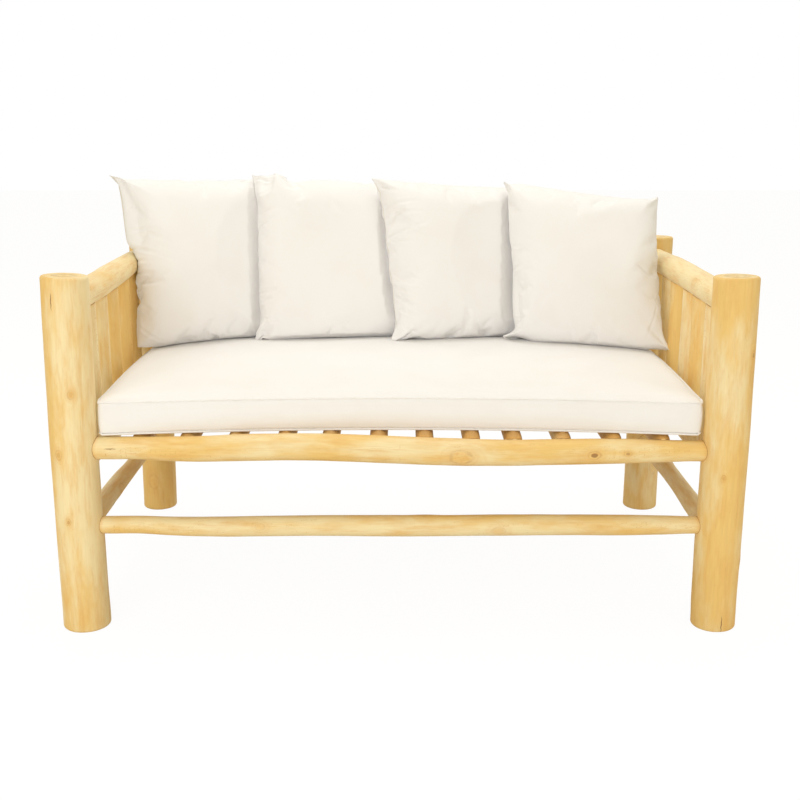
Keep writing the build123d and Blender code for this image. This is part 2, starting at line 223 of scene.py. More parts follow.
def log_grain_group():
    """Grain along a log: soft patches, streaks, fibres, knots and checks, and painted shade at its
    joints.
    """
    tree, (log, knot, check, tone, joint, sapwood, honey, streak, heart) = new_group(
        "log grain", sockets("Vector", "Log Knot Check") + sockets("Float", "Tone Joint")
        + WOOD_COLOURS)
    power = knot.parts()[2]
    strength = power.step("MINIMUM", 1.0)
    wobble = log.noise((75, 75, 50), 2.0) + log.noise((300, 300, 180), 2.0) * 0.35
    distance = (knot.part("MULTIPLY", (1, 1, 0)).part("LENGTH", outlet=1)
                + wobble.scaled(0.8, -0.54))
    phase = log.noise((13, 13, 2.6), 2.0) * 4.5 + distance.fall(0.4, 3.6) * strength * 2.4
    line = (phase * TURN).step("SINE").scaled(0.5, 0.5).step("POWER", 3.0)
    patch = log.noise((16, 16, 4.5), 4.0, 0.6) + tone
    shade = sapwood.under(honey, patch.spread(0.36, 0.64))
    # Tones past the usual ones, as on the seat slats, blend towards streak and heart: partly
    # darker wood, partly painted shade of the cushion above them.
    shade = shade.under(streak, tone.spread(0.25, 0.6, 0.0, 0.8))
    shade = shade.under(heart, tone.spread(0.5, 0.9, 0.0, 0.5))
    for grain, low, high, amount, over in (
            ([(42, 42, 13)], 0.46, 0.72, 0.34, streak),
            ([(33, 33, 8)], 0.52, 0.76, 0.45, sapwood),
            ([(72, 72, 9), 4.0, 0.6], 0.5, 0.74, 0.46, streak)):
        shade = shade.under(over, log.noise(*grain).spread(low, high) * amount)
    shade = shade.under(streak, line * 0.11)
    fibre = log.noise((430, 430, 14), 4.0, 0.65)
    shade = shade.under(fibre.spread(0.3, 0.7, 0.965, 1.015), 1.0, "MULTIPLY")
    shade = shade.under(heart, log.noise((900, 900, 45), 1.0).spread(0.68, 0.76) * 0.16)
    shade = shade.under(streak, distance.fall(0.9, 3.0) * strength * 0.34)
    swirl = log.noise((160, 160, 120), 2.0).spread(0.35, 0.65)
    shade = shade.under(honey.under(streak, swirl), distance.fall(0.7, KNOT_RIM) * strength * 0.6)
    broken = log.noise((70, 70, 50), 2.0).spread(0.35, 0.6, 0.25, 1.0)
    rim = abs(distance - KNOT_RIM).fall(0.05, 0.28) * (strength * broken)
    shade = shade.under(heart.under(streak, 0.5), rim * 0.42)
    eye = distance.fall(0.45, 0.75) * power.step("SUBTRACT", 1.0, use_clamp=True)
    shade = shade.under(heart, eye * 0.9)
    off, along, deep = check.parts()
    across = abs(off + log.noise((60, 60, 160), 2.0).scaled(3.0, -1.5))
    crack = (1.0 - along * along).step("SUBTRACT", across, use_clamp=True) * deep
    shade = shade.under(heart, crack.spread(0.0, 0.35))
    # Painted shade where the log meets another: an orange band, and a dark ragged line along the
    # joint.
    joint = abs(joint)
    shade = shade.under(streak, joint.spread(0.0, 0.009, 0.42, 0.0))
    ragged = wobble.scaled(-0.0016, joint)
    shade = shade.under(heart, ragged.spread(-0.0004, 0.0007, 0.65, 0.0))
    height = fibre * 0.35 + line * 0.1 + rim * 0.4 - crack * 2.5
    return give(tree, shade, fibre.spread(0.25, 0.75, 0.62, 0.48), height)


def end_rings_group():
    """A log's sawn end: growth rings round the heart, with fine radial checks."""
    tree, (log, sapwood, honey, streak, heart) = new_group(
        "end rings", sockets("Vector", "Log") + WOOD_COLOURS)
    flat = log.part("MULTIPLY", (1, 1, 0))
    radius = flat.part("LENGTH", outlet=1) + log.noise((34, 34, 5)).scaled(0.012, -0.006)
    ring = (radius * RINGS).step("SINE").scaled(0.5, 0.5).step("POWER", 2.5)
    shade = sapwood.under(honey, log.noise((45, 45, 5), 4.0).spread(0.35, 0.65, 0.0, 0.6))
    shade = shade.under(streak, ring * 0.2)
    patchy = log.noise((70, 70, 5)).spread(0.3, 0.7, 0.35, 1.0)
    band = abs(radius - HEARTWOOD).fall(0.0035, 0.0085) * patchy
    shade = shade.under(heart, band * 0.3)
    shade = shade.under(heart, radius.fall(0.0, 0.006) * 0.5)
    split = Value(lay(tree, "ShaderNodeTexNoise", {
        "Vector": flat.part("NORMALIZE"), "Scale": 5.5, "Detail": 2.0}).outputs[0])
    crack = abs(split - 0.5).fall(0.0, 0.012) * radius.fall(0.002, 0.034)
    shade = shade.under(heart, crack * 0.55)
    saw = log.noise((260, 30, 5), 2.0)
    return give(tree, shade, saw.spread(0.3, 0.7, 0.72, 0.6), saw.scaled(0.5, ring) - crack)


def weave_group():
    """Plain woven cotton: crossing threads with slubs, on a flat piece of cloth in metres."""
    tree, (cloth, pitch, seam, cover, thread) = new_group(
        "plain weave", sockets("Vector", "Cloth") + sockets("Float", "Pitch Seam")
        + sockets("Color", "Cover Thread"))
    pitch = lay(tree, "ShaderNodeCombineXYZ", {0: pitch, 1: pitch, 2: 1.0}).outputs[0]
    threads = cloth.part("DIVIDE", pitch).parts()
    warp, weft = ((threads[i] * (TURN / 2)).step("SINE") for i in (0, 1))
    over = (warp * weft).scaled(0.5, 0.5)
    gap = (1.0 - abs(warp)) * (1.0 - abs(weft))
    slub = cloth.noise((28, 850, 1)).step("MAXIMUM", cloth.noise((850, 28, 1)))
    shade = cover.under(thread, gap * 0.45)
    shade = shade.under(thread, slub.spread(0.6, 0.85, 0.0, 0.16))
    shade = shade.under(thread, cloth.noise((9, 9, 1)).spread(0.4, 0.75, 0.0, 0.07))
    line, ridge = seam.fall(0.0003, 0.0024), seam.fall(0.007, 0.0105)
    shade = shade.under(thread, line * 0.7)
    return give(tree, shade, slub.spread(0.4, 0.8, 0.93, 0.82),
                over * 0.35 + slub * 0.5 + ridge * 0.9 - line * 1.6)


BUMP = 0.5


def surface(name, group, inputs, relief, **constants):
    """A material, made when first asked for: a group's colours and relief on one Principled."""
    made = bpy.data.materials.get(name)
    if made:
        return made
    made = bpy.data.materials.new(name)
    made.use_nodes = True
    tree = made.node_tree
    shader = tree.nodes["Principled BSDF"]
    effect = lay(tree, "ShaderNodeGroup", inputs(tree), node_tree=group()).outputs
    raised = lay(tree, "ShaderNodeBump", {"Height": effect["Height"], "Strength": BUMP,
                                          "Distance": relief}).outputs[0]
    for socket, value in (("Base Color", effect["Color"]), ("Normal", raised),
                          ("Roughness", effect["Roughness"])):
        tree.links.new(value, shader.inputs[socket])
    for key, value in constants.items():
        shader.inputs[key.replace("_", " ")].default_value = value
    return made


def attributes(tree, outlet, *names):
    """Some of a piece's own attributes, by the names of a group's inputs."""
    return {name: lay(tree, "ShaderNodeAttribute", attribute_name=name.lower()).outputs[outlet]
            for name in names}


def wood_inputs():
    """The wood's colours, as they are set in the panel."""
    wood = bpy.context.scene.loveseat_wood
    return {name: (*getattr(wood, name.lower()), 1.0) for name, _ in WOOD_COLOURS}


def wood_materials():
    """The finish along a log and the finish of its sawn ends."""
    side = surface(
        "peeled log", log_grain_group,
        lambda tree: {**attributes(tree, "Vector", "Log", "Knot", "Check"),
                      **attributes(tree, "Fac", "Tone", "Joint"), **wood_inputs()},
        0.0008, Specular_IOR_Level=0.35)
    end = surface(
        "sawn end", end_rings_group,
        lambda tree: {**attributes(tree, "Vector", "Log"), **wood_inputs()},
        0.0006, Specular_IOR_Level=0.25)
    return side, end


def cloth_material():
    """The covers' finish."""
    cloth = bpy.context.scene.loveseat_cloth
    return surface(
        "unbleached cotton", weave_group,
        lambda tree: {"Cloth": lay(tree, "ShaderNodeUVMap", uv_map="cloth").outputs[0],
                      "Pitch": cloth.weave, "Cover": (*cloth.cover, 1.0),
                      "Thread": (*cloth.thread, 1.0), **attributes(tree, "Fac", "Seam")},
        0.0006, Specular_IOR_Level=0.2, Sheen_Weight=0.25, Sheen_Roughness=0.5)


# Meshes ------------------------------------------------------------------------------------------

def mesh_of(bm, name):
    """A new mesh from a worked one, which ends here."""
    mesh = bpy.data.meshes.new(name)
    bm.to_mesh(mesh)
    bm.free()
    return mesh


def add_object(name, data):
    """A new object in the scene."""
    made = bpy.data.objects.new(name, data)
    bpy.context.scene.collection.objects.link(made)
    return made


def settle(pieces):
    """Works the modifiers of some pieces into their meshes."""
    graph = bpy.context.evaluated_depsgraph_get()
    for piece in pieces:
        mesh = bpy.data.meshes.new_from_object(piece.evaluated_get(graph))
        piece.modifiers.clear()
        piece.data = mesh


def bell(offset, width):
    """One in the middle, and soon nothing past a width on either side."""
    return math.exp(-(offset / width) ** 2)


def tree_of(*names):
    """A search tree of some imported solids."""
    bm = bmesh.new()
    for name in names:
        bm.from_mesh(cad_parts[name].data)
    found = BVHTree.FromBMesh(bm)
    bm.free()
    return found


# Logs --------------------------------------------------------------------------------------------

# The rays that measure a log: how far from its axis they start, and the degrees between two.
RAY_START, RAY_STEP = 0.2, 20


def log_profile(name, axis, margin, count):
    """A log's places along its axis, with its centre and its radius at each, off its solid."""
    low, high = (Vector(corner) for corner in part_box(name))
    solid = tree_of(name)
    first, second = (axis + 1) % 3, (axis + 2) % 3
    profile = []
    for i in range(count):
        point = (low + high) / 2
        point[axis] = low[axis] + margin + (high[axis] - low[axis] - 2 * margin) * i / (count - 1)
        skin = []
        for turn in range(0, 360, RAY_STEP):
            way = Vector((0, 0, 0))
            way[first], way[second] = math.cos(math.radians(turn)), math.sin(math.radians(turn))
            hit = solid.ray_cast(point + way * RAY_START, -way)[0]
            if hit is not None:
                skin.append(Vector((hit[first] - point[first], hit[second] - point[second])))
        if len(skin) < 180 / RAY_STEP:
            raise RuntimeError(f"{name}: no wood at {point[axis]:.3f} along it")
        middle, radius = round_of(skin)
        profile.append((point[axis], point[first] + middle.x, point[second] + middle.y, radius))
    usual = sorted(row[3] for row in profile)[count // 2]
    whole = [row for row in profile if row[3] > 0.8 * usual]  # Not where a mortise cuts it
    return [(row[0], *min(whole, key=lambda other: abs(other[0] - row[0]))[1:]) for row in profile]


def round_of(points):
    """Centre and radius of the circle that most of some points lie on, past any holes."""
    middle = sum(points, Vector((0, 0))) / len(points)
    for _ in range(12):
        radii = [(point - middle).length for point in points]
        radius = sorted(radii)[len(radii) // 2]
        near = [(point - middle).normalized() * (size - radius)
                for point, size in zip(points, radii) if abs(size - radius) < 0.25 * radius]
        middle = middle + sum(near, Vector((0, 0))) * 1.2 / len(near)
    return middle, radius


def along_profile(profile, place):
    """Centre and radius at one place, smoothly between the measured ones."""
    step = (profile[-1][0] - profile[0][0]) / (len(profile) - 1)
    at = min(max((place - profile[0][0]) / step, 0), len(profile) - 1.0001)
    i, t = int(at), at - int(at)
    rows = [profile[min(max(i + k, 0), len(profile) - 1)] for k in (-1, 0, 1, 2)]
    return [0.5 * (2 * b + (c - a) * t + (2 * a - 5 * b + 4 * c - d) * t * t
                   + (3 * b - a - 3 * c + d) * t ** 3)
            for a, b, c, d in zip(*[row[1:] for row in rows])]


# Knots and checks that show, each as its turn about the log's axis in degrees, its place along the
# log, its size along it and its strength. Turns start at the log's first cross axis.
KNOTS = {
    "front_seat_rail": ((188, 0.1215, 0.0125, 0.95), (180, 0.386, 0.0075, 1.9),
                        (176, 0.452, 0.0045, 1.5), (60, -0.31, 0.014, 0.8),
                        (20, 0.12, 0.012, 0.9)),
    "front_stretcher": ((165, -0.283, 0.006, 0.5), (196, 0.20, 0.008, 0.45),
                        (80, 0.05, 0.009, 0.7)),
    "front_left_post": ((-100, 0.24, 0.0045, 1.4), (-114, 0.378, 0.006, 1.2),
                        (-75, 0.5, 0.005, 1.1), (150, 0.52, 0.014, 0.9), (40, 0.18, 0.012, 0.8)),
    "front_right_post": ((-44, 0.576, 0.005, 1.5), (-30, 0.15, 0.005, 1.3),
                         (-105, 0.33, 0.004, 1.2), (100, 0.6, 0.014, 0.9)),
    "rear_left_post": ((80, 0.55, 0.014, 1.0), (-100, 0.08, 0.012, 0.6)),
    "rear_right_post": ((100, 0.25, 0.013, 0.9), (-60, 0.12, 0.011, 0.6)),
    "rear_seat_rail": ((0, -0.35, 0.013, 1.0), (20, 0.22, 0.012, 0.9)),
    "back_top_rail": ((10, -0.2, 0.013, 1.0), (-10, 0.38, 0.012, 0.8), (90, 0.1, 0.012, 0.6)),
    "left_arm_rail": ((-60, -0.05, 0.011, 0.7), (100, 0.1, 0.012, 0.5)),
    "right_arm_rail": ((60, 0.12, 0.012, 0.8), (-70, -0.16, 0.010, 0.5)),
    "right_stretcher": ((-80, -0.27, 0.011, 0.7), (70, 0.1, 0.011, 0.8)),
    "left_stretcher": ((80, -0.1, 0.010, 0.6), (-90, 0.12, 0.011, 0.9)),
}
KNOT_RISE = 0.0014
CHECKS = {
    "front_left_post": ((-110, 0.682, 0.020, 0.9), (160, 0.62, 0.06, 0.8)),
    "front_right_post": ((-83, 0.018, 0.022, 1.0), (120, 0.66, 0.05, 0.9)),
    "rear_left_post": ((60, 0.65, 0.06, 1.0),),
    "rear_right_post": ((130, 0.05, 0.05, 1.0),),
    "front_seat_rail": ((170, -0.575, 0.014, 0.8), (40, 0.2, 0.06, 0.8)),
    "back_top_rail": ((30, 0.0, 0.09, 0.8),),
    "rear_seat_rail": ((-20, 0.1, 0.08, 0.8),),
}
CHECK_WIDTH = 0.0011
# How much darker than usual some logs are: all over, on their darker side, and where round the log
# that side is, in degrees. The side slats, by their numbers, are so all over.
TONES = {"left_arm_rail": (-0.13, 0.03, 90), "right_arm_rail": (-0.17, 0.03, 0),
         "front_left_post": (-0.02, 0.12, 185), "front_right_post": (0.05, 0.07, -80),
         "rear_left_post": (0.16, 0.04, 180), "rear_right_post": (0.05, 0.06, 200),
         "front_seat_rail": (0.03, 0.03, 0), "front_stretcher": (0.0, 0.03, 0)}
SLAT_TONES = {"left": (-0.17, -0.08, 0.17, 0.21, 0.1, 0.14),
              "right": (-0.1, 0.1, 0.0, 0.13, -0.12, 0.08)}
# The seat slats' extra tone: partly a darker wood, partly painted shade of the seat cushion above
# them.
SEAT_SLAT_TONE_AND_SHADE = 0.8
# How each kind of log is laid: how far from its ends its solid is first measured and at how many
# places, how far it goes on into the logs that it joins, its faces round it and their length, and
# how far from its ends it narrows.
LOGS = {"post": {"margin": 0.014, "places": 21, "segments": 72, "spacing": 0.009, "ends": True},
        "rail": {"margin": 0.045, "places": 21, "segments": 48, "spacing": 0.010},
        "slat": {"margin": 0.03, "reach": 0.0105, "segments": 32, "spacing": 0.012},
        "seat": {"margin": 0.03, "reach": 0.0105, "segments": 32, "spacing": 0.007,
                 "shoulder": 0.036}}
# The peeled skin's waves to the metre, round a log and along it; how far from a joint's line the
# painted shade of the joint reaches; and how far down a post the lean of its sawn top reaches.
RIPPLE_ROUND, RIPPLE_ALONG, JOINT_SHADE_REACH, SLOPE_REACH = 14, 6, 0.05, 0.05
# How far off its axis a post's sawn top is measured, and from how far above.
PROBE, PROBE_RISE = 0.025, 0.05


def joined(name):
    """The thicker logs that a log's ends go into."""
    if name.endswith("post"):
        return []
    kind = "rail" if "slat" in name else "post"
    return [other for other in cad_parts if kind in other]


def log_tone(name, seed):
    """A log's tone, as in TONES; on the seat slats partly a darker wood, partly painted shade of
    the cushion.
    """
    usual = 0.04 * math.sin(seed * 5.1)
    side, *rest = name.split("_")
    if "side_slat" in name:
        usual = SLAT_TONES[side][int(rest[-1]) - 1]
    # The seat slats are darker: partly their wood, partly painted shade of the cushion above them.
    elif "slat" in name and side == "seat":
        usual += SEAT_SLAT_TONE_AND_SHADE
    return TONES.get(name, (usual, 0, 0))


def nearest_mark(marks, turn, place, radius, width=None):
    """Offset to the nearest knot on a log's skin, round and along it, over the knot's own size.

    With a width it is a check instead. The third value is the mark's strength, faded around it.
    """
    best = (99.0, 99.0, 0.0)
    for mark_turn, mark_place, size, strength in marks:
        swing = (turn - math.radians(mark_turn) + math.pi) % (2 * math.pi) - math.pi
        offset = (swing * radius / (width or size),
                  (place - mark_place) / (size if width else 1.5 * size), strength)
        if math.hypot(*offset[:2]) < math.hypot(*best[:2]):
            best = offset
    if width:
        fade = min(2.6 - abs(best[1]), (20 - abs(best[0])) / 8)
    else:
        fade = (3.3 - math.hypot(*best[:2])) / 1.1
    return Vector((best[0], best[1], best[2] * min(1, max(0, fade))))


def log_mesh(thick, run, segments, spacing, rim):
    """A plain round log about Z in rings of faces, with its sawn rims rounded."""
    bm = bmesh.new()
    bmesh.ops.create_cone(bm, cap_ends=True, segments=segments, radius1=thick, radius2=thick,
                          depth=run)
    sides = [e for e in bm.edges if abs(e.verts[0].co.z - e.verts[1].co.z) > run / 2]
    bmesh.ops.subdivide_edges(bm, edges=sides, cuts=round(run / spacing), use_grid_fill=True)
    if rim:
        rims = [e for e in bm.edges if all(abs(abs(v.co.z) - run / 2) < 1e-6 for v in e.verts)]
        bmesh.ops.bevel(bm, geom=rims, offset=rim, offset_type="OFFSET", segments=5,
                        profile=0.5, affect="EDGES", material=-1)
    return bm


def log_piece(name, axis, seed, margin, segments, spacing, places=5, reach=0, ends=False,
              shoulder=0):
    """One log about a row axis, laid along its solid's profile, with hidden or sawn ends."""
    wood = bpy.context.scene.loveseat_wood
    profile = log_profile(name, axis, margin, places)
    others = tree_of(*joined(name)) if joined(name) else None
    low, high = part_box(name)
    start, stop = low[axis] - reach, high[axis] + reach
    middle = (start + stop) / 2
    thick = profile[len(profile) // 2][3]
    bm = log_mesh(thick, stop - start, segments, spacing, wood.rim if ends else 0)
    skin = {layer: bm.verts.layers.float_vector.new(layer) for layer in ("log", "knot", "check")}
    skin.update({layer: bm.verts.layers.float.new(layer) for layer in ("tone", "joint")})
    tone, tone_swing, tone_turn = log_tone(name, seed)
    slope = end_slope(name, axis) if ends else (0, 0)
    for vert in bm.verts:
        place = vert.co.z + middle
        first, second, radius = along_profile(profile, place)
        turn = math.atan2(vert.co.y, vert.co.x)
        share = math.hypot(vert.co.x, vert.co.y) / thick
        spot = Vector((math.cos(turn) * radius * RIPPLE_ROUND,
                       math.sin(turn) * radius * RIPPLE_ROUND, place * RIPPLE_ALONG + seed))
        ripple = (noise.noise(spot) + 0.4 * noise.noise(spot * 3.1)) * wood.ripple
        knot = nearest_mark(KNOTS.get(name, ()), turn, place, radius)
        ripple += KNOT_RISE * min(knot.z, 1) * math.exp(-(knot.x ** 2 + knot.y ** 2) / 5)
        out = (radius + ripple) * share
        if shoulder:
            rest = min(1, min(place - start, stop - place) / shoulder)
            out *= 0.5 + 0.5 * math.sqrt(max(0, 1 - (1 - rest) ** 2))
        x, y = math.cos(turn) * out, math.sin(turn) * out
        lift = (slope[0] * x + slope[1] * y) * max(0, 1 - (stop - place) / SLOPE_REACH)
        moved = Vector((0, 0, 0))
        moved[axis] = place + lift
        moved[(axis + 1) % 3] = first + x
        moved[(axis + 2) % 3] = second + y
        vert.co = moved
        # Distance to the logs that it joins, which the finish turns into painted shade along the
        # joint.
        joint = JOINT_SHADE_REACH
        if others:
            near, normal, _, distance = others.find_nearest(moved)
            joint = math.copysign(min(distance, JOINT_SHADE_REACH), (moved - near).dot(normal))
        vert[skin["log"]] = Vector((x, y, place + seed * 1.7))
        vert[skin["knot"]] = knot
        vert[skin["check"]] = nearest_mark(CHECKS.get(name, ()), turn, place, radius, CHECK_WIDTH)
        vert[skin["tone"]] = tone + tone_swing * math.cos(turn - math.radians(tone_turn))
        vert[skin["joint"]] = joint
    for face in bm.faces:
        face.smooth = True
        face.material_index = 1 if len(face.verts) > 4 else 0
    piece = add_object(name + "_log", mesh_of(bm, name + "_log"))
    for material in wood_materials():
        piece.data.materials.append(material)
    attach(piece, "frame")
    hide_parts(name)


def end_slope(name, axis):
    """How a post's sawn top leans, off its solid."""
    low, high = (Vector(corner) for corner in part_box(name))
    solid = tree_of(name)
    centre = (low + high) / 2
    centre[axis] = high[axis] + PROBE_RISE
    slope = []
    for cross in ((axis + 1) % 3, (axis + 2) % 3):
        heights = []
        for sign in (1, -1):
            point = centre.copy()
            point[cross] += sign * PROBE
            down = Vector((0, 0, 0))
            down[axis] = -1
            heights.append(solid.ray_cast(point, down)[0][axis])
        slope.append((heights[0] - heights[1]) / (2 * PROBE))
    return slope


# Cushions ----------------------------------------------------------------------------------------

# The simulated cloth: its steps to a frame, its mass and air drag, and how it resists each strain.
CLOTH = {"quality": 6, "mass": 0.3, "air_damping": 4, "tension_stiffness": 22,
         "compression_stiffness": 7, "shear_stiffness": 5, "use_pressure": True}
# The frames of each fill, how its cloth resists bending, and the seat cushion's pressure.
PILLOW_FRAMES, PILLOW_BENDING = 24, 0.3
SEAT_FRAMES, SEAT_BENDING, SEAT_PRESSURE = 14, 0.5, 1.5
# How far a cover may stand off its solid: a pillow's in the middle, and any cover at its seams.
PILLOW_PROUD, SEAM_PROUD = 0.018, 0.004


def inflate(pieces, pressure, frames, bending, pins="", filled=""):
    """Fills sewn covers by cloth simulation and keeps the result as their meshes."""
    scene = bpy.context.scene
    for piece in pieces:
        cloth = piece.modifiers.new("fill", "CLOTH")
        values = {**CLOTH, "bending_stiffness": bending, "uniform_pressure_force": pressure,
                  "vertex_group_mass": pins, "vertex_group_pressure": filled}
        for key, value in values.items():
            setattr(cloth.settings, key, value)
        cloth.settings.effector_weights.gravity = 0
        cloth.collision_settings.use_collision = False
        cloth.point_cache.frame_start, cloth.point_cache.frame_end = 1, frames
    for step in range(1, frames + 1):
        scene.frame_set(step)
    settle(pieces)
    scene.frame_set(1)


# How near a pressed cover may come to what it touches, and the share of a pillow's side over which
# it swells from its seam.
TOUCH_GAP, SWELL = 0.0002, 0.12


def press(piece, own, neighbours, proud, loose=(), seam_proud=None):
    """Keeps a filled cover near its solid, and off what it touches.

    A pillow's cover stays closer at its seams, and may stand off further at some loose spots.
    """
    solid, others = tree_of(own), tree_of(*neighbours)
    bm = bmesh.new()
    bm.from_mesh(piece.data)
    uv = bm.loops.layers.uv["cloth"]
    rooms = []
    for vert in bm.verts:
        u, v = vert.link_loops[0][uv].uv / PILLOW_SIZE
        room = proud
        if seam_proud is not None:
            room = seam_proud + (proud - seam_proud) * min(1, min(u, 1 - u, v, 1 - v) / SWELL)
        for spot_u, spot_v, reach, more in loose:
            room += more * max(0, 1 - math.hypot(u - spot_u, v - spot_v) / reach)
        rooms.append(room)
    for _ in range(2):
        pressed = []
        for vert, room in zip(bm.verts, rooms):
            place, normal, _, distance = solid.find_nearest(vert.co)
            if (vert.co - place).dot(normal) <= 0:
                continue
            moved, share = vert.co.copy(), min(1, room / max(distance, 1e-9))
            for _ in range(8):
                moved = place + (vert.co - place) * share
                near, outward, _, gap = others.find_nearest(moved)
                if (moved - near).dot(outward) > 0 and gap > distance * share + TOUCH_GAP:
                    break
                share *= 0.7
            else:
                moved = place
            if share < 1:
                vert.co = moved
                pressed.append(vert)
        bmesh.ops.smooth_vert(bm, verts=pressed, factor=0.4, use_axis_x=True, use_axis_y=True,
                              use_axis_z=True)
    for face in bm.faces:
        face.smooth = True
    bm.to_mesh(piece.data)
    bm.free()


# The side of a pillow's square, the height that it stands at, and its lean in degrees.
PILLOW_SIZE, PILLOW_BASE, PILLOW_LEAN = 0.41, 0.4883, 19
# Each square's corners as it is cut, in shares of its side: bottom left, bottom right, top right
# and top left.
PILLOW_CORNERS = (((0, 0), (0.95, 0), (0.94, 1.0), (-0.032, 1.02)),
                  ((0, 0), (0.99, 0), (0.98, 0.955), (0.043, 1.0)),
                  ((-0.004, 0), (0.98, 0), (0.97, 0.95), (-0.03, 1.015)),
                  ((0.035, 0.005), (0.965, -0.01), (0.866, 0.897), (-0.055, 1.0)))
# How far some of those corners are drawn out as flat ears, and how sharply, and where a top edge
# has a second tip: the pillow, its place, its width and its height.
PILLOW_EARS = (((-0.014, 0), (0, 0), (0, 0), (-0.02, 0.02)),
               ((-0.065, -0.02), (0, 0), (0, 0), (-0.06, 0.005)),
               ((-0.05, -0.015), (0, 0), (0, 0), (-0.018, 0.0)),
               ((-0.065, -0.02), (0.035, -0.01), (0.005, 0.01), (-0.08, 0.01)))
EAR_POWER, PILLOW_TIP, TIP_POWER = 12, (1, 0.16, 0.05, 0.068), 10
# Where each pillow's bottom left corner stands, to the side and back, and its turn in degrees.
PILLOW_PLACES = ((-0.62205, 0.09337, 25), (-0.35198, 0.16453, 12), (-0.01599, 0.15354, 16),
                 (0.24999, 0.16348, -13))
# How far each square's edges bow outward: below, right, above and left. A left edge bows more low
# down than high up, by a share of its bow.
PILLOW_BOWS = ((0.036, 0.020, 0.018, 0.010), (0.036, 0.024, 0.020, 0.015),
               (0.036, 0.024, 0.016, 0.019), (0.036, 0.013, 0.011, 0.0135))
PILLOW_SLUMPS = (2.0, 0.0, 0.0, -1.1)
SEWN_RISE, QUICK_RISE, CORNER_FLAT, CORNER_FADE = 0.012, 0.07, 0.06, 0.12
# Folds in the front squares: where each starts and ends, in hundredths of the side, and its depth
# in millimetres. Then the half width of every fold, and of the banks beside it and their offset.
PILLOW_FOLDS = (
    ((1, 97, 5, 93, 2.5), (2, 78.5, 13, 79, 1.2), (3, 66.5, 20, 65, 1.8), (1, 58, 18, 52, 2.2),
     (1, 50.5, 15, 48.5, 1.8), (1, 44, 18, 42, 2), (1, 37, 20, 37, 1.8), (3, 27, 13, 22, 1.2),
     (3, 12, 16, 6, 1.8), (30, 2, 36, 10, 1.2)),
    ((0, 99, 20, 90, 3.2), (3, 87, 16, 85, 1.2), (3, 76, 18, 75, 1.4), (2, 68, 17, 71.5, 1.9),
     (1, 31, 16, 32.5, 2), (1, 25, 15, 28.5, 1.8), (3, 18, 18, 15, 1.6), (0, 7, 9, 9, 1.6),
     (2, 3, 14, 10, 1.6)),
    ((2, 93, 13, 86, 2.6), (2, 80, 24, 79, 1.6), (2, 74.5, 26, 73, 1.6), (1, 61, 27, 67, 2),
     (4, 59.5, 20, 57.5, 2), (1, 53, 7, 57, 1.5), (2, 37, 20, 35, 1.7), (2, 33, 15, 30, 1.6),
     (3, 27, 17, 23, 1.6), (4, 20.5, 19, 18, 1.5), (7, 12, 15, 8, 1.8), (10, 6, 5, 1.5, 4)),
    ((2, 95, 7, 91, 2.6), (1, 81, 11, 84, 1.5), (5, 56.5, 16, 57, 1), (1, 43, 15, 47, 1.9),
     (2, 15, 17, 19, 1.8), (3, 8, 20, 15, 1.8), (99, 60, 92, 66, 1.8), (99, 46, 93, 50, 1.8),
     (97, 40, 84, 10, 1.2), (98, 5, 93, 12, 1.5)))
FOLD_WIDTH, BANK_WIDTH, BANK_OFFSET = 0.0036, 0.004, 0.0062
# Where the covers stand further off their solids: a spot and a reach in shares of the square's
# side, and how much further.
PILLOW_LOOSE = (((0, 1, 0.12, 0.004), (0, 0.2, 0.36, 0.014), (0, 0, 0.15, 0.008)),
                ((0, 1, 0.2, 0.022), (0, 0, 0.14, 0.014)),
                ((0, 1, 0.12, 0.010), (0, 0, 0.14, 0.018)),
                ((0, 1, 0.12, 0.010), (0, 0, 0.16, 0.022), (1, 0, 0.2, 0.014),
                 (1, 1, 0.12, 0.006)))


